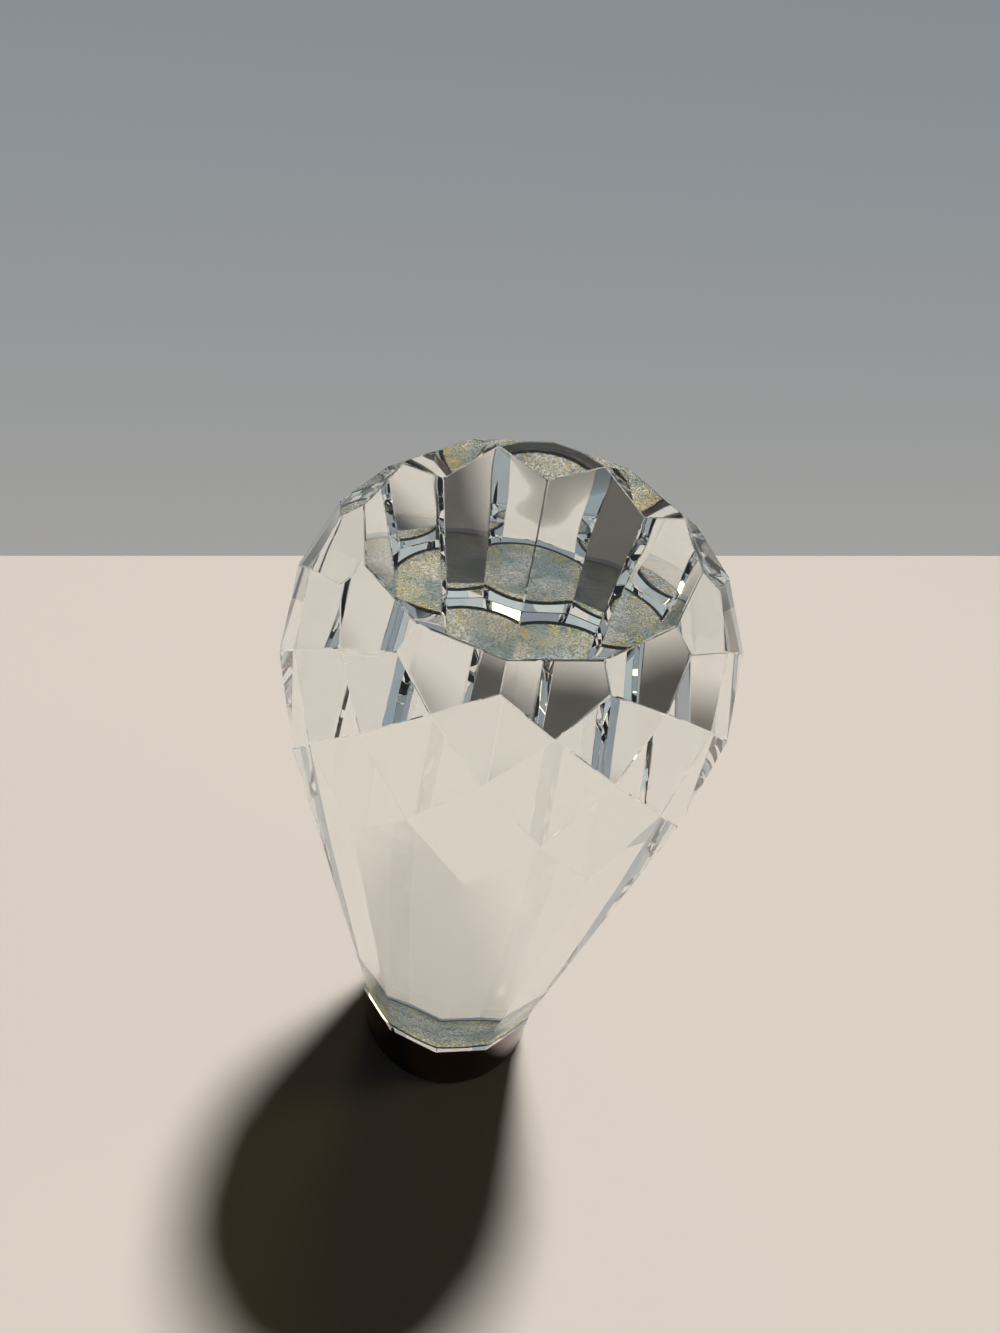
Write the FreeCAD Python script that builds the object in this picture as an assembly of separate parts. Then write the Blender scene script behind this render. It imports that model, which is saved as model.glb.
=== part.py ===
import FreeCAD, Part
import math
import os

# Curtain pole finial: a cut crystal held on a turned metal collar that slips over the pole's end.
# Millimetres. The Z axis is the pole's axis, and the origin is the middle of the collar's mouth.
# The crystal stands narrow end down on the collar, with its large flat table on top.

# Pole and collar
pole_dia = 28.0
socket_clearance = 0.2
collar_wall = 2.8
socket_depth = 14.0
collar_web = 3.5
mouth_lead = 0.8
mouth_round = 1.2
shoulder_bevel = 0.8

# Grub screw that locks the collar to the pole
screw_dia = 4.0
screw_length = 2.6
screw_level = 7.0
screw_clear = 0.1
thread_play = 0.05
key_flats = 2.0
key_depth = 1.4
screw_bevel = 0.35

# Bond between the collar and the crystal
bond_thick = 0.3
bond_inset = 1.6

# Crystal
facet_count = 12
crystal_height = 110.3
table_corners = 42.3
star_run = 2.95
foot_overhang = 0.85
foot_height = 4.4
foot_lean = 1.5

# Facet angles from level: the crown row first, then how much steeper each next row is cut
crown_angle = 41.6
kite_step = 17.8
upper_step = 14.9
girdle_step = 13.4

# Derived sizes
socket_radius = pole_dia / 2 + socket_clearance
collar_radius = socket_radius + collar_wall
collar_height = socket_depth + collar_web
bond_radius = collar_radius - bond_inset
crystal_base = collar_height + bond_thick
table_level = crystal_base + crystal_height
half_step = math.pi / facet_count
beside = math.cos(half_step)


def row_at(angle, radius, level):
    """A row of facets: its angle from level, and its distance from the axis along its normal.

    The row passes through the point at this radius and level, straight out from a facet's middle.
    """
    lean = math.radians(angle)
    return lean, radius * math.sin(lean) + level * math.cos(lean)


def meet(own, other):
    """Radius and level of the corner where a facet's middle line meets its two neighbours' row."""
    a, b = math.sin(own[0]), math.cos(own[0])
    c, d = math.sin(other[0]) * beside, math.cos(other[0])
    det = a * d - b * c
    return (own[1] * d - b * other[1]) / det, (a * other[1] - c * own[1]) / det


def ring(corner, shift):
    """The corners of one level round the axis; shift is 0 in line with the table's corners, or 1."""
    radius, level = corner
    turns = [(2 * k + shift) * half_step for k in range(facet_count)]
    return [FreeCAD.Vector(radius * math.cos(t), radius * math.sin(t), level) for t in turns]


def crystal_rings():
    """Corner rings from the table down, each fixed by the rows of facets that meet there."""
    table_radius = table_corners / 2
    crown = row_at(crown_angle, table_radius * beside, table_level)

    # The kites start on the edge between two crown facets, a short way out from the table
    start = table_radius + star_run
    drop = (start - table_radius) * beside * math.tan(crown[0])
    kite = row_at(crown_angle + kite_step, start, table_level - drop)
    crown_tip = meet(crown, kite)

    # Each next row is laid on the corner that the two rows above it leave
    upper_angle = crown_angle + kite_step + upper_step
    upper = row_at(upper_angle, *crown_tip)
    kite_tip = meet(kite, upper)
    girdle = row_at(upper_angle + girdle_step, *kite_tip)
    widest = meet(upper, girdle)

    # The long facets run from the widest corners down to the top of the foot
    foot_flat = collar_radius + foot_overhang
    foot_top = crystal_base + foot_height
    taper = math.degrees(math.atan2(widest[0] - foot_flat, widest[1] - foot_top))
    pencil = row_at(90 + taper, *widest)
    shoulder = meet(girdle, pencil)
    base_flat = foot_flat - foot_height * math.tan(math.radians(foot_lean))
    return {
        "table": ring((table_radius, table_level), 0),
        "start": ring((start, table_level - drop), 0),
        "crown_tip": ring(crown_tip, 1),
        "kite_tip": ring(kite_tip, 0),
        "widest": ring(widest, 1),
        "shoulder": ring(shoulder, 0),
        "foot": ring((foot_flat / beside, foot_top), 0),
        "base": ring((base_flat / beside, crystal_base), 0),
    }


def facet(*corners):
    """One flat facet through its corners in order."""
    return Part.Face(Part.makePolygon(list(corners) + [corners[0]]))


def facets_of_step(rings, k):
    """The six facets of one step round the crystal, from the crown down to the foot."""
    n = (k + 1) % facet_count
    table, start, crown_tip = rings["table"], rings["start"], rings["crown_tip"]
    kite_tip, widest, shoulder = rings["kite_tip"], rings["widest"], rings["shoulder"]
    foot, base = rings["foot"], rings["base"]
    return [
        facet(table[k], start[k], crown_tip[k], start[n], table[n]),
        facet(start[k], crown_tip[k - 1], kite_tip[k], crown_tip[k]),
        facet(crown_tip[k], kite_tip[k], widest[k], kite_tip[n]),
        facet(kite_tip[k], widest[k - 1], shoulder[k], widest[k]),
        facet(widest[k], shoulder[k], foot[k], foot[n], shoulder[n]),
        facet(foot[k], base[k], base[n], foot[n]),
    ]


def crystal():
    """The cut crystal: a flat table, six rows of facets and a flat base, closed to one solid."""
    rings = crystal_rings()
    faces = [facet(*rings["table"]), facet(*rings["base"])]
    for k in range(facet_count):
        faces += facets_of_step(rings, k)
    shell = Part.makeShell(faces)
    shell.sewShape()
    body = Part.makeSolid(shell)
    if body.Volume < 0:
        body.reverse()
    return body


def collar():
    """The turned collar: a cup, open downwards, that slips over the pole's end."""
    lead_radius = socket_radius + mouth_lead / 2
    lip = min(mouth_round, 0.9 * (collar_radius - lead_radius))
    corners = [
        FreeCAD.Vector(collar_radius, 0, lip),
        FreeCAD.Vector(collar_radius, 0, collar_height - shoulder_bevel),
        FreeCAD.Vector(collar_radius - shoulder_bevel, 0, collar_height),
        FreeCAD.Vector(0, 0, collar_height),
        FreeCAD.Vector(0, 0, socket_depth),
        FreeCAD.Vector(socket_radius, 0, socket_depth),
        FreeCAD.Vector(socket_radius, 0, mouth_lead),
        FreeCAD.Vector(lead_radius, 0, 0),
        FreeCAD.Vector(collar_radius - lip, 0, 0),
    ]
    middle = FreeCAD.Vector(collar_radius - lip, 0, lip)
    bulge = middle + FreeCAD.Vector(math.sqrt(0.5) * lip, 0, -math.sqrt(0.5) * lip)
    rolled_lip = Part.Arc(corners[-1], bulge, corners[0]).toShape()
    outline = Part.Wire(Part.makePolygon(corners).Edges + [rolled_lip])
    cup = Part.Face(outline).revolve(FreeCAD.Vector(0, 0, 0), FreeCAD.Vector(0, 0, 1), 360)
    return cup.cut(tapped_hole()).Solids[0]


def tapped_hole():
    """The grub screw's hole through the collar's wall on its +Y side, with a small countersink."""
    radius = screw_dia / 2 + thread_play
    across = FreeCAD.Vector(0, 1, 0)
    start = FreeCAD.Vector(0, socket_radius - collar_wall, screw_level)
    hole = Part.makeCylinder(radius, 3 * collar_wall, start, across)
    sink = 2 * screw_bevel
    rim = FreeCAD.Vector(0, collar_radius - sink, screw_level)
    return hole.fuse(Part.makeCone(radius, radius + 2 * sink, 2 * sink, rim, across))


def grub_screw():
    """A headless screw with bevelled ends and a hexagonal key socket, in the collar's +Y side."""
    radius = screw_dia / 2
    bevel = min(screw_bevel, 0.3 * screw_length, 0.3 * radius)
    corners = [
        FreeCAD.Vector(0, 0, 0),
        FreeCAD.Vector(radius - bevel, 0, 0),
        FreeCAD.Vector(radius, 0, bevel),
        FreeCAD.Vector(radius, 0, screw_length - bevel),
        FreeCAD.Vector(radius - bevel, 0, screw_length),
        FreeCAD.Vector(0, 0, screw_length),
        FreeCAD.Vector(0, 0, 0),
    ]
    outline = Part.Face(Part.makePolygon(corners))
    body = outline.revolve(FreeCAD.Vector(0, 0, 0), FreeCAD.Vector(0, 0, 1), 360)
    body = body.cut(key_socket()).Solids[0]
    body.rotate(FreeCAD.Vector(0, 0, 0), FreeCAD.Vector(1, 0, 0), -90)
    body.translate(FreeCAD.Vector(0, socket_radius + screw_clear, screw_level))
    return body


def key_socket():
    """The hexagonal recess in the screw's outer end."""
    reach = key_flats / 2 / math.cos(math.pi / 6)
    floor = screw_length - key_depth
    turns = [math.radians(60 * k) for k in range(7)]
    corners = [FreeCAD.Vector(reach * math.cos(t), reach * math.sin(t), floor) for t in turns]
    return Part.Face(Part.makePolygon(corners)).extrude(FreeCAD.Vector(0, 0, 2 * key_depth))


def bond():
    """The thin film of adhesive that joins the crystal's base to the top of the collar."""
    return Part.makeCylinder(bond_radius, bond_thick, FreeCAD.Vector(0, 0, collar_height))


def main():
    os.makedirs("parts", exist_ok=True)
    pieces = {
        "crystal": crystal(),
        "bond": bond(),
        "collar": collar(),
        "grub_screw": grub_screw(),
    }
    for name, shape in pieces.items():
        shape.exportStep("parts/" + name + ".step")
        box = shape.BoundBox
        span = "%.1f x %.1f x %.1f mm" % (box.XLength, box.YLength, box.ZLength)
        print(name, shape.ShapeType, "valid" if shape.isValid() else "not valid", span)


main()
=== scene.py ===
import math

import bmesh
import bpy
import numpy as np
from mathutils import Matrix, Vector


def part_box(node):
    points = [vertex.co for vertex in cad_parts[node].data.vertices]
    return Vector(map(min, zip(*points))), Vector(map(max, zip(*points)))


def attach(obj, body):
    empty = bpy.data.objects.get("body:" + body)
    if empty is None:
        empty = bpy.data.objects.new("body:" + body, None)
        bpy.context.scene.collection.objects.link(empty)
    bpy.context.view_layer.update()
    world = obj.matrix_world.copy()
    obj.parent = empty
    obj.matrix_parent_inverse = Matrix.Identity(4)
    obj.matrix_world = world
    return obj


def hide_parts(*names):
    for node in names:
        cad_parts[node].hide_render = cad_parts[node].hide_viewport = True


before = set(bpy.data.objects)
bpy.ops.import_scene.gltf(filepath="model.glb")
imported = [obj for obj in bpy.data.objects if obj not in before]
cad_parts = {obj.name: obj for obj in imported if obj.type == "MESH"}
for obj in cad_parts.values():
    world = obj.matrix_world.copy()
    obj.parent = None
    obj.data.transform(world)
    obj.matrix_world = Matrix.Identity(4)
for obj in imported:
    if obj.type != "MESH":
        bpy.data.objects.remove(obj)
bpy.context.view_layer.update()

# %% [markdown]
# # A cut crystal finial for a curtain pole
# The finial is a block of clear crystal, ground and polished into six rows of flat facets, with a
# large flat table on top. It stands narrow end down on a dark polished metal collar that slips over
# the pole's end, and a thin film of cured adhesive joins the two. The frame already holds every
# piece at its real size. This file gives the pieces their finish, and it rebuilds two of them whose
# finish is a matter of shape: the crystal gets softened edges, and the film gets its crinkles.
# All lengths are in metres.

MM = 0.001
print("nodes in the frame:", sorted(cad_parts))

# %% [markdown]
# ## Colours and nodes
# Paint and metal colours are written as the hex values that a screen shows. A renderer works in
# linear light, so one function turns each hex value into linear numbers. A second small function
# adds one node, sets its values and joins its inputs, so that each material reads like a recipe.

# %% Colours and nodes
def linear(hex_colour):
    """The linear red, green, blue and alpha of an sRGB hex value such as D9CFC3."""
    parts = [int(hex_colour[k:k + 2], 16) / 255 for k in (0, 2, 4)]
    return (*[v / 12.92 if v <= 0.04045 else ((v + 0.055) / 1.055) ** 2.4 for v in parts], 1.0)


def add_node(owner, kind, settings=None, inputs=None, links=None):
    """Adds one node: its own settings, its inputs' values, and links from other nodes' sockets."""
    node = owner.node_tree.nodes.new(kind)
    for name, value in (settings or {}).items():
        setattr(node, name, value)
    for name, value in (inputs or {}).items():
        node.inputs[name].default_value = value
    for name, socket in (links or {}).items():
        owner.node_tree.links.new(socket, node.inputs[name])
    return node


def new_material(name):
    """An empty node material, with its output node."""
    material = bpy.data.materials.new(name)
    material.use_nodes = True
    material.node_tree.nodes.clear()
    return material, add_node(material, "ShaderNodeOutputMaterial")


def finish_with(owner, output, shader):
    """Joins the shader to the output of a material or of the world."""
    owner.node_tree.links.new(shader.outputs[0], output.inputs["Surface"])
    return owner


def noise(material, size, detail=2.0, stretch=(1, 1, 1)):
    """Soft noise with blotches of about this size, stretched along an axis where it is below 1."""
    place = add_node(material, "ShaderNodeTexCoord")
    scaled = add_node(material, "ShaderNodeMapping", inputs={"Scale": stretch},
                      links={"Vector": place.outputs["Object"]})
    return add_node(material, "ShaderNodeTexNoise", inputs={"Scale": 1 / size, "Detail": detail},
                    links={"Vector": scaled.outputs[0]})


def between(material, value, start, end, low, high):
    """Maps a value that runs from start to end onto a value from low to high, kept inside."""
    return add_node(material, "ShaderNodeMapRange",
                    inputs={"From Min": start, "From Max": end, "To Min": low, "To Max": high},
                    links={"Value": value})


def blend(material, share, first, second):
    """Mixes two colours, each a hex value or another node's colour socket, by a share socket."""
    node = add_node(material, "ShaderNodeMix", {"data_type": "RGBA"}, links={0: share})
    for slot, colour in ((6, first), (7, second)):
        if isinstance(colour, str):
            node.inputs[slot].default_value = linear(colour)
        else:
            material.node_tree.links.new(colour, node.inputs[slot])
    return node.outputs[2]


def relief(material, height, depth, strength=1.0):
    """A bump of this real depth from a height that runs from 0 to 1."""
    return add_node(material, "ShaderNodeBump", inputs={"Distance": depth, "Strength": strength},
                    links={"Height": height}).outputs["Normal"]


print("D9CFC3 in linear light:", [round(v, 3) for v in linear("D9CFC3")])

# %% [markdown]
# ## The camera
# The photograph looks down at the table from close by, with a wide lens such as a hand-held
# camera has. The camera stands 100 mm in front of the axis and 210 mm above the floor, looks down
# at 46 degrees, and is rolled by 10 degrees. The place and the lens were found by fitting the
# corners of the facets to the photograph.

# %% The camera
FOCAL_PIXELS, IMAGE_HEIGHT, SENSOR = 1048.7, 1333, 36.0
CAMERA_PLACE = Vector((2.05, -100.25, 210.13)) * MM
LOOK_DOWN, HEADING, ROLL = math.radians(46.454), math.radians(1.876), math.radians(9.956)

forward = Vector((-math.sin(HEADING) * math.cos(LOOK_DOWN),
                  math.cos(HEADING) * math.cos(LOOK_DOWN), -math.sin(LOOK_DOWN)))
level = Vector((math.cos(HEADING), math.sin(HEADING), 0))
above = level.cross(forward)
right = level * math.cos(ROLL) + above * math.sin(ROLL)
upward = above * math.cos(ROLL) - level * math.sin(ROLL)

lens = bpy.data.cameras.new("camera")
lens.sensor_width = SENSOR
lens.lens = FOCAL_PIXELS * SENSOR / IMAGE_HEIGHT
lens.clip_start = 1 * MM
camera = bpy.data.objects.new("camera", lens)
bpy.context.scene.collection.objects.link(camera)
camera.matrix_world = Matrix.Translation(CAMERA_PLACE) @ Matrix(
    (right, upward, -forward)).transposed().to_4x4()
bpy.context.scene.camera = camera
print("lens %.2f mm" % lens.lens)

# %% [markdown]
# ## Floor and wall
# Glass has no colour of its own: it shows the room. So the room comes first. The floor is a pale,
# warm white paint. The wall behind is a cool grey backdrop that glows with its own tone, so that it
# looks the same to the eye, through the glass and in the metal, and lights nothing. It is a little
# paler and warmer near the floor: painted light, standing in for light that the floor bounces onto
# it, so that facets that look at different heights differ in tone. Seen from its back the wall is
# clear: it never stands between the eye and the finial.

# %% Floor and wall
def matt_paint(name, colour):
    """Emulsion paint: one plain colour with hardly any gloss."""
    material, output = new_material(name)
    shader = add_node(material, "ShaderNodeBsdfPrincipled", inputs={
        "Base Color": linear(colour), "Roughness": 0.7, "Specular IOR Level": 0.1})
    return finish_with(material, output, shader)


def glowing_backdrop(name, near_floor, higher_up, reach):
    """A backdrop with its own tone for the eye, glass and metal; its back side is clear.

    The tone goes from the first colour, painted bounce light at the floor, to the second at this
    height.
    """
    material, output = new_material(name)
    place = add_node(material, "ShaderNodeTexCoord")
    height = add_node(material, "ShaderNodeSeparateXYZ", links={0: place.outputs["Object"]})
    share = between(material, height.outputs["Z"], 0, reach, 0, 1)
    path = add_node(material, "ShaderNodeLightPath")
    mirrored = add_node(material, "ShaderNodeMath", {"operation": "MAXIMUM"},
                        links={0: path.outputs["Is Camera Ray"], 1: path.outputs["Is Glossy Ray"]})
    seen = add_node(material, "ShaderNodeMath", {"operation": "MAXIMUM"},
                    links={0: mirrored.outputs[0], 1: path.outputs["Is Transmission Ray"]})
    tone = add_node(material, "ShaderNodeEmission", links={
        "Color": blend(material, share.outputs[0], near_floor, higher_up),
        "Strength": seen.outputs[0]})
    back = add_node(material, "ShaderNodeNewGeometry").outputs["Backfacing"]
    clear = add_node(material, "ShaderNodeBsdfTransparent")
    one_sided = add_node(material, "ShaderNodeMixShader",
                         links={0: back, 1: tone.outputs[0], 2: clear.outputs[0]})
    return finish_with(material, output, one_sided)


def flat_sheet(name, corners, material):
    """One flat four-cornered sheet of the stage."""
    mesh = bpy.data.meshes.new(name)
    mesh.from_pydata(corners, [], [(0, 1, 2, 3)])
    mesh.materials.append(material)
    sheet = bpy.data.objects.new(name, mesh)
    bpy.context.scene.collection.objects.link(sheet)
    return sheet


WALL_TURN, WALL_DISTANCE = math.radians(16.96), 142.4 * MM
# The wall's paler tone near the floor is painted light bounced up from the floor; it fades out by the
# last of these heights.
STAGE_REACH, WALL_HEIGHT, PAINTED_BOUNCE_HEIGHT = 12.0, 8.0, 0.16
along = Vector((math.cos(WALL_TURN), math.sin(WALL_TURN), 0))
away = Vector((-math.sin(WALL_TURN), math.cos(WALL_TURN), 0))
foot = away * WALL_DISTANCE
wall_left, wall_right = foot - along * STAGE_REACH, foot + along * STAGE_REACH
rise, deep = Vector((0, 0, WALL_HEIGHT)), away * STAGE_REACH

flat_sheet("floor", [wall_left - deep, wall_right - deep, wall_right + deep, wall_left + deep],
           matt_paint("warm_white_emulsion", "D8CFC6"))
wall = flat_sheet("wall", [wall_left, wall_right, wall_right + rise, wall_left + rise],
                  glowing_backdrop("cool_grey_backdrop", "A2A19E", "858D94", PAINTED_BOUNCE_HEIGHT))
wall.visible_shadow = False
print("wall stands %.0f mm behind the axis" % (WALL_DISTANCE / MM))

# %% [markdown]
# ## Light
# The key light comes from high up, behind the finial and a little from the right, as a
# photographer lights glass. It is a sun lamp, so the floor is equally bright everywhere, and a
# wide angle gives its shadow a soft edge. The shadow falls towards the camera. Many facets mirror
# the floor just there, so they turn dark and give the crystal its contrast. Two small warm lamps
# only add glints. The room is the wall's grey near the horizon and paler overhead, like any room
# with a pale ceiling, and a touch cooler to the right. It adds a weak fill.

# %% Light
def soft_sun(name, towards, spread, strength, colour):
    """Light that falls the same everywhere, from this direction, as wide as this angle."""
    light = bpy.data.lights.new(name, "SUN")
    light.angle = spread
    light.energy = strength
    light.color = linear(colour)[:3]
    lamp = bpy.data.objects.new(name, light)
    bpy.context.scene.collection.objects.link(lamp)
    lamp.location = towards
    lamp.rotation_euler = Vector(towards).to_track_quat("Z", "Y").to_euler()
    return lamp


def soft_lamp(name, place, aim, size, watts, colour):
    """A square soft lamp that points from its place to its aim."""
    light = bpy.data.lights.new(name, "AREA")
    light.size = size
    light.energy = watts
    light.color = linear(colour)[:3]
    lamp = bpy.data.objects.new(name, light)
    bpy.context.scene.collection.objects.link(lamp)
    lamp.location = place
    lamp.rotation_euler = (Vector(aim) - Vector(place)).to_track_quat("-Z", "Y").to_euler()
    lamp.visible_camera = False
    return lamp


def room_light(fill, tones, left, right):
    """A room for eye, glass and metal, with a weak even fill for everything else.

    It has three tones from the horizon up, tinted from its left side to its right.
    """
    world = bpy.data.worlds.new("room_light")
    world.use_nodes = True
    world.node_tree.nodes.clear()
    bpy.context.scene.world = world
    towards = add_node(world, "ShaderNodeTexCoord")
    height = add_node(world, "ShaderNodeSeparateXYZ", links={0: towards.outputs["Generated"]})
    ramp = add_node(world, "ShaderNodeValToRGB", links={0: height.outputs["Z"]})
    ramp.color_ramp.elements.new(0.5)
    for element, (position, tone) in zip(ramp.color_ramp.elements, tones):
        element.position, element.color = position, linear(tone)
    side = add_node(world, "ShaderNodeMapRange", inputs={"From Min": -1.0, "From Max": 1.0},
                    links={"Value": height.outputs["X"]})
    tint = add_node(world, "ShaderNodeMix", {"data_type": "RGBA"}, links={0: side.outputs[0]})
    tint.inputs[6].default_value, tint.inputs[7].default_value = linear(left), linear(right)
    tinted = add_node(world, "ShaderNodeMix", {"data_type": "RGBA", "blend_type": "MULTIPLY"},
                      inputs={0: 1.0})
    world.node_tree.links.new(ramp.outputs[0], tinted.inputs[6])
    world.node_tree.links.new(tint.outputs[2], tinted.inputs[7])
    room = add_node(world, "ShaderNodeBackground", links={"Color": tinted.outputs[2]})
    even = add_node(world, "ShaderNodeBackground",
                    inputs={"Color": linear("C9CED3"), "Strength": fill})
    path = add_node(world, "ShaderNodeLightPath")
    both = add_node(world, "ShaderNodeMixShader", links={
        0: path.outputs["Is Diffuse Ray"], 1: room.outputs[0], 2: even.outputs[0]})
    return finish_with(world, add_node(world, "ShaderNodeOutputWorld"), both)


KEY_FROM, KEY_SPREAD, KEY_STRENGTH = (0.062, 0.26, 0.68), math.radians(8), 3.3
GLINT_AIM, GLINT_SIZE, GLINT_WATTS, GLINT_COLOUR = (0, 0, 0.02), 0.04, 0.022, "FFE0A4"
FILL = 0.03
ROOM_TONES = ((0.0, "8A9197"), (0.3, "8A9197"), (1.0, "CDD3D1"))

soft_sun("key_light", KEY_FROM, KEY_SPREAD, KEY_STRENGTH, "FFFEFC")
for name, place in (("warm_back_glint", (-0.06, 0.11, 0.32)), ("warm_side_glint", (0.15, 0.0, 0.28))):
    soft_lamp(name, place, GLINT_AIM, GLINT_SIZE, GLINT_WATTS, GLINT_COLOUR)
room_light(FILL, ROOM_TONES, "FFFDFA", "E8F2F5")

# %% [markdown]
# ## The crystal
# The real crystal is cast as a rough block, and each facet is then ground and polished flat on a
# turning lap. The frame's crystal has the true facets with knife-sharp edges. A real edge is
# softened by the polishing, and its thin band of gloss draws a fine bright line round every
# facet. A bevel on a copy gives that: the copy's triangles are merged first, so that only the true
# edges are bevelled.

# %% The crystal's shape
SOFT_EDGE, EDGE_STEPS = 0.14 * MM, 2


def merged_copy(node, name):
    """A copy of a frame node's mesh, its triangles merged back into flat faces."""
    mesh = bpy.data.meshes.new(name)
    bm = bmesh.new()
    bm.from_mesh(bpy.data.objects[node].data)
    bmesh.ops.remove_doubles(bm, verts=bm.verts, dist=0.001 * MM)
    bmesh.ops.dissolve_limit(bm, angle_limit=math.radians(0.5), verts=bm.verts, edges=bm.edges)
    bmesh.ops.recalc_face_normals(bm, faces=bm.faces)
    for face in bm.faces:
        face.smooth = False
    bm.to_mesh(mesh)
    bm.free()
    return mesh


facets = merged_copy("crystal", "cut_crystal")
crystal = bpy.data.objects.new("cut_crystal", facets)
bpy.context.scene.collection.objects.link(crystal)
bevel = crystal.modifiers.new("soft_edges", "BEVEL")
bevel.width = SOFT_EDGE
bevel.segments = EDGE_STEPS
bevel.limit_method = "ANGLE"
bevel.angle_limit = math.radians(3)
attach(crystal, "root")
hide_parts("crystal")
print("facets:", len(facets.polygons), "corners:", len(facets.vertices))

# %% [markdown]
# ## Polished crystal glass
# Clear glass is one shader with full transmission. Its refractive index decides what each facet
# shows. Leaded crystal bends light more than window glass does, and at 1.60 the facets near the
# camera mirror the film under the glass, while their neighbours let the dark floor through. A lap
# never leaves a facet perfectly flat, so a very shallow wave bends the reflections a little.

# %% The crystal's glass
REFRACTIVE_INDEX = 1.6
WAVE_SIZE, WAVE_DEPTH = 16 * MM, 0.08 * MM


def polished_crystal(name):
    """Clear leaded crystal with the faint waviness that hand polishing leaves."""
    material, output = new_material(name)
    wave = noise(material, WAVE_SIZE, detail=0.0)
    shader = add_node(material, "ShaderNodeBsdfPrincipled", inputs={
        "Base Color": linear("FAFDFB"), "Roughness": 0.0, "IOR": REFRACTIVE_INDEX,
        "Transmission Weight": 1.0},
        links={"Normal": relief(material, wave.outputs[0], WAVE_DEPTH)})
    return finish_with(material, output, shader)


facets.materials.clear()
facets.materials.append(polished_crystal("polished_leaded_crystal"))
print("glass:", facets.materials[0].name)

# %% [markdown]
# ## The film of adhesive
# The film joins the crystal to the collar. Seen through the glass it is a round silvery disc with
# fine crinkles, like foil, because the adhesive shrank while it cured. Its top is made as height
# over a polar grid: many short ridged waves, each in a direction of its own, added together. The
# top reaches a hair into the glass, so that no air is left between the two, which is how a real
# bonded joint lets light through to the film.

# %% The film's shape
film_low, film_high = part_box("bond")
FILM_RADIUS = (film_high.x - film_low.x) / 2
RINGS, SPOKES = 90, 300
INTO_GLASS, CRINKLE_DEPTH = 0.02 * MM, 0.035 * MM


def crinkle(x, y):
    """Height of the film's wrinkles from 0 to 1.

    The sum over pitches p and directions t of p * (1 - |sin(u / 2 + bend)|), where
    u = 2 pi (x cos t + y sin t) / p is a wave across the direction and bend is a slow sideways sway.
    """
    draw = np.random.default_rng(12)
    height = np.zeros_like(x)
    for pitch in (4.2, 2.9, 1.9, 1.3, 0.9):
        for _ in range(4):
            turn, phase = draw.uniform(0, math.tau, 2)
            wave = (x * math.cos(turn) + y * math.sin(turn)) / (pitch * MM) * math.tau
            bend = np.sin(y / (pitch * 2.3 * MM) * math.tau + phase)
            height += pitch * (1 - np.abs(np.sin(0.5 * wave + bend + phase)))
    return (height - height.min()) / (height.max() - height.min())


def film_mesh(name):
    """A disc on a polar grid, x = r cos t and y = r sin t, with a crinkled top, closed below."""
    r = np.linspace(0, 1, RINGS + 1)[1:]
    t = np.linspace(0, math.tau, SPOKES, endpoint=False)
    rr, tt = np.meshgrid(r * FILM_RADIUS, t, indexing="ij")
    x, y = (rr * np.cos(tt)).ravel(), (rr * np.sin(tt)).ravel()
    top = film_high.z + INTO_GLASS + CRINKLE_DEPTH * crinkle(x, y)
    low = np.full(SPOKES, film_low.z)
    points = np.concatenate([
        np.stack([x, y, top], 1),
        np.stack([x[-SPOKES:], y[-SPOKES:], low], 1),
        [[0, 0, film_high.z + INTO_GLASS], [0, 0, film_low.z]]])
    ring = np.arange(RINGS)[:, None] * SPOKES
    k = np.arange(SPOKES)[None, :]
    n = (k + 1) % SPOKES
    quads = np.stack([ring + k, ring + SPOKES + k, ring + SPOKES + n, ring + n], -1).reshape(-1, 4)
    hub, base = len(points) - 2, len(points) - 1
    tip = np.stack([np.full(SPOKES, hub), k[0], n[0]], -1)
    rim = RINGS * SPOKES
    under = np.stack([np.full(SPOKES, base), rim + n[0], rim + k[0]], -1)
    mesh = bpy.data.meshes.new(name)
    mesh.from_pydata(points.tolist(), [], quads.tolist() + tip.tolist() + under.tolist())
    return mesh


film = bpy.data.objects.new("adhesive_film", film_mesh("adhesive_film"))
bpy.context.scene.collection.objects.link(film)
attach(film, "root")
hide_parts("bond")
print("film faces:", len(film.data.polygons))

# %% [markdown]
# ## Crinkled silver
# The finish is built from the middle outwards. Fine grain mixes two silvers, and here and there a
# patch is bluish. Streaks that run outwards, made from noise that is read by angle instead of by
# place, turn golden near the rim: a painted highlight, standing for golden glints. The last
# millimetre is painted shade, dark like the shadowed gap where the adhesive ends.

# %% The film's finish
STREAKS, STREAK_RELIEF = 100, 0.11 * MM
GRAIN_SIZE, PATCH_SIZE = 0.45 * MM, 7 * MM


def streaks_outwards(material, place, count):
    """Noise that changes quickly round the disc and slowly outwards, and the distance from its hub."""
    axis = add_node(material, "ShaderNodeSeparateXYZ", links={0: place})
    angle = add_node(material, "ShaderNodeMath", {"operation": "ARCTAN2"},
                     links={0: axis.outputs["Y"], 1: axis.outputs["X"]})
    flat = add_node(material, "ShaderNodeCombineXYZ",
                    links={"X": axis.outputs["X"], "Y": axis.outputs["Y"]})
    distance = add_node(material, "ShaderNodeVectorMath", {"operation": "LENGTH"},
                        links={0: flat.outputs[0]})
    around = between(material, angle.outputs[0], -math.pi, math.pi, 0, count)
    outward = between(material, distance.outputs["Value"], 0, FILM_RADIUS, 0, 3)
    polar = add_node(material, "ShaderNodeCombineXYZ",
                     links={"X": around.outputs[0], "Y": outward.outputs[0]})
    streak = add_node(material, "ShaderNodeTexNoise", inputs={"Scale": 1.0, "Detail": 3.0},
                      links={"Vector": polar.outputs[0]})
    return streak.outputs[0], distance.outputs["Value"]


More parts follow.
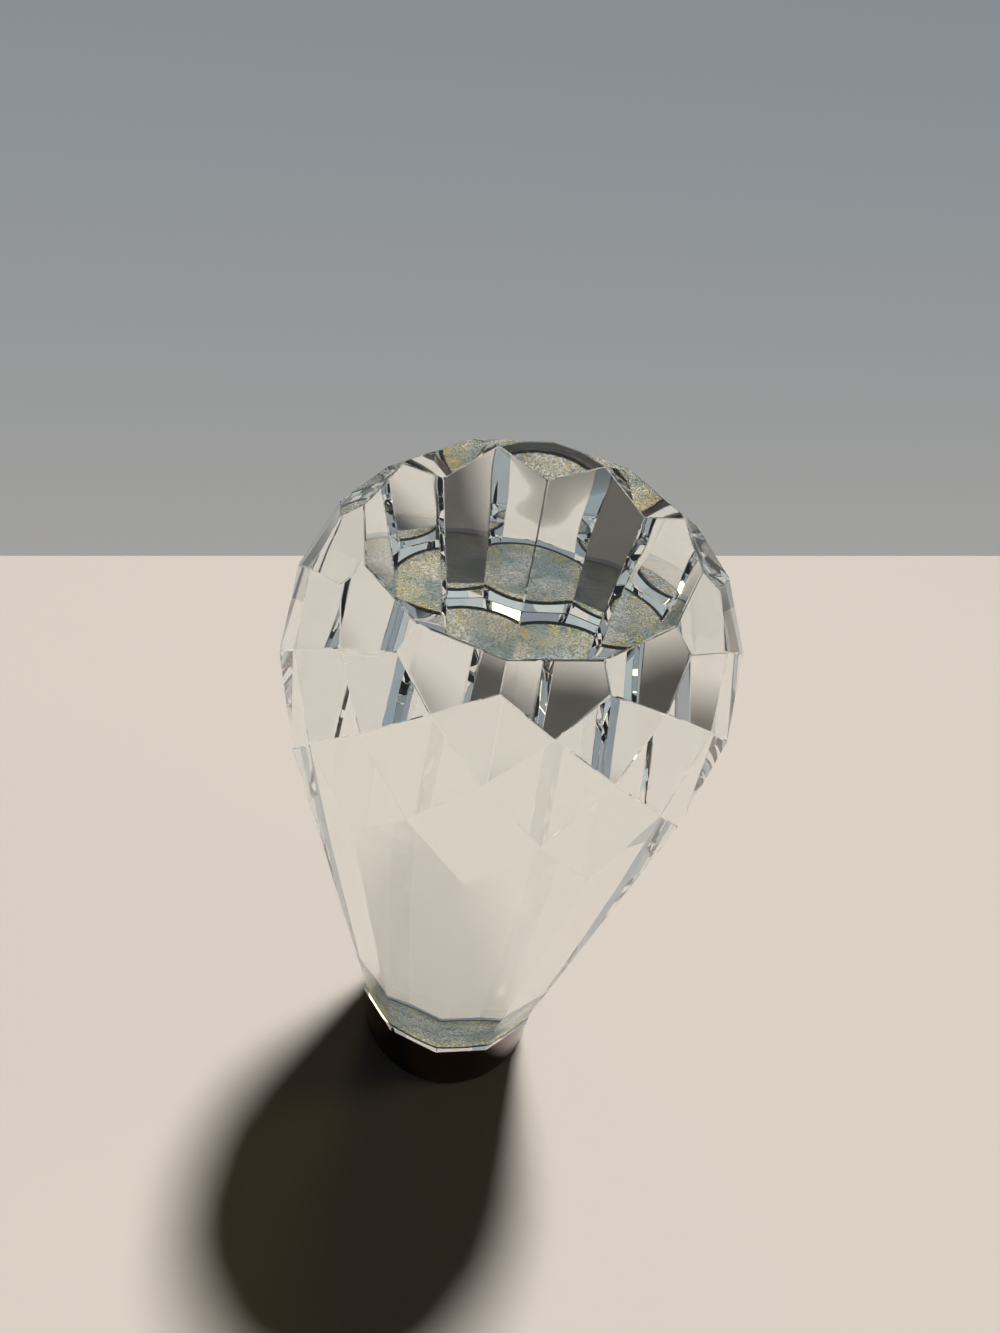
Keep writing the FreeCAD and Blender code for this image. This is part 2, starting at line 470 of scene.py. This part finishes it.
def crinkled_silver(name):
    """Silvery grained film; painted golden glints and painted shade near its rim."""
    material, output = new_material(name)
    place = add_node(material, "ShaderNodeTexCoord").outputs["Object"]
    streak, distance = streaks_outwards(material, place, STREAKS)
    grain = noise(material, GRAIN_SIZE, detail=2.0)
    silver = blend(material, between(material, grain.outputs[0], 0.35, 0.65, 0, 1).outputs[0],
                   "C2C0B4", "FFFEF8")
    patch = noise(material, PATCH_SIZE, detail=1.0)
    silver = blend(material, between(material, patch.outputs[0], 0.43, 0.57, 0, 0.65).outputs[0],
                   silver, "88A0A4")
    # Painted highlight: the colour turns golden where the outward streaks run strong, only towards the
    # rim.
    lit = between(material, streak, 0.47, 0.57, 0, 1)
    outer = between(material, distance, 0.45 * FILM_RADIUS, 0.8 * FILM_RADIUS, 0, 0.9)
    painted_glint_share = add_node(material, "ShaderNodeMath", {"operation": "MULTIPLY"},
                      links={0: lit.outputs[0], 1: outer.outputs[0]})
    silver_with_painted_glints = blend(material, painted_glint_share.outputs[0], silver, "E0CC8C")
    # Painted shade: the film's outer millimetre turns dark, as the shadowed gap where the adhesive
    # ends.
    rim = between(material, distance, FILM_RADIUS - 1.1 * MM, FILM_RADIUS - 0.8 * MM, 0, 1)
    colour = blend(material, rim.outputs[0], silver_with_painted_glints, "26241F")
    height = add_node(material, "ShaderNodeMath", {"operation": "MULTIPLY_ADD"},
                      inputs={1: 0.15}, links={0: grain.outputs[0], 2: streak})
    shader = add_node(material, "ShaderNodeBsdfPrincipled", inputs={"Metallic": 1.0}, links={
        "Base Color": colour,
        "Roughness": between(material, grain.outputs[0], 0.3, 0.7, 0.2, 0.38).outputs[0],
        "Normal": relief(material, height.outputs[0], STREAK_RELIEF)})
    return finish_with(material, output, shader)


film.data.materials.append(crinkled_silver("crinkled_silver_film"))
print("film radius %.1f mm" % (FILM_RADIUS / MM))

# %% [markdown]
# ## The collar and its screw
# Both keep the frame's own solids, whose curves are already smooth, and only get a finish. The
# collar was turned on a lathe, plated in dark bronze and polished: a cutting tool leaves fine rings
# round the axis, which noise gives when it is squeezed along the axis and stretched round it. They
# are drawn at twice their real pitch, so that they show. The plating is a touch uneven in colour
# and in gloss. The grub screw is plain steel, a little mottled.

# %% The metal finishes
def turned_metal(name, dark, light, gloss, ring_pitch, ring_depth):
    """Polished metal between two tones, with fine turned rings round the Z axis."""
    material, output = new_material(name)
    rings = noise(material, ring_pitch, detail=1.0, stretch=(0.02, 0.02, 1))
    cloud = noise(material, 5 * MM, detail=3.0)
    shade = between(material, cloud.outputs[0], 0.3, 0.7, 0, 1)
    shader = add_node(material, "ShaderNodeBsdfPrincipled", inputs={"Metallic": 1.0}, links={
        "Base Color": blend(material, shade.outputs[0], dark, light),
        "Roughness": between(material, cloud.outputs[0], 0.25, 0.75, *gloss).outputs[0],
        "Normal": relief(material, rings.outputs[0], ring_depth)})
    return finish_with(material, output, shader)


bpy.data.objects["collar"].material_slots[0].material = turned_metal(
    "dark_polished_bronze", "5E443F", "72554D", (0.07, 0.15), 0.5 * MM, 0.01 * MM)
bpy.data.objects["grub_screw"].material_slots[0].material = turned_metal(
    "plain_steel", "7E7E7C", "A6A6A2", (0.25, 0.4), 0.3 * MM, 0.004 * MM)

# %% [markdown]
# ## Render settings that belong to glass
# Light that enters a cut crystal is thrown from facet to facet many times, so it is allowed many
# bounces before it is given up. Sharp specks of focused light on the floor are left out: they cost
# many samples, and without them the floor under the crystal keeps one plain soft shadow.

# %% Render settings
scene = bpy.context.scene
scene.view_settings.view_transform = "Standard"
scene.cycles.max_bounces = 24
scene.cycles.transmission_bounces = 24
scene.cycles.glossy_bounces = 12
scene.cycles.caustics_refractive = False
scene.cycles.caustics_reflective = False
print("bounces:", scene.cycles.max_bounces)
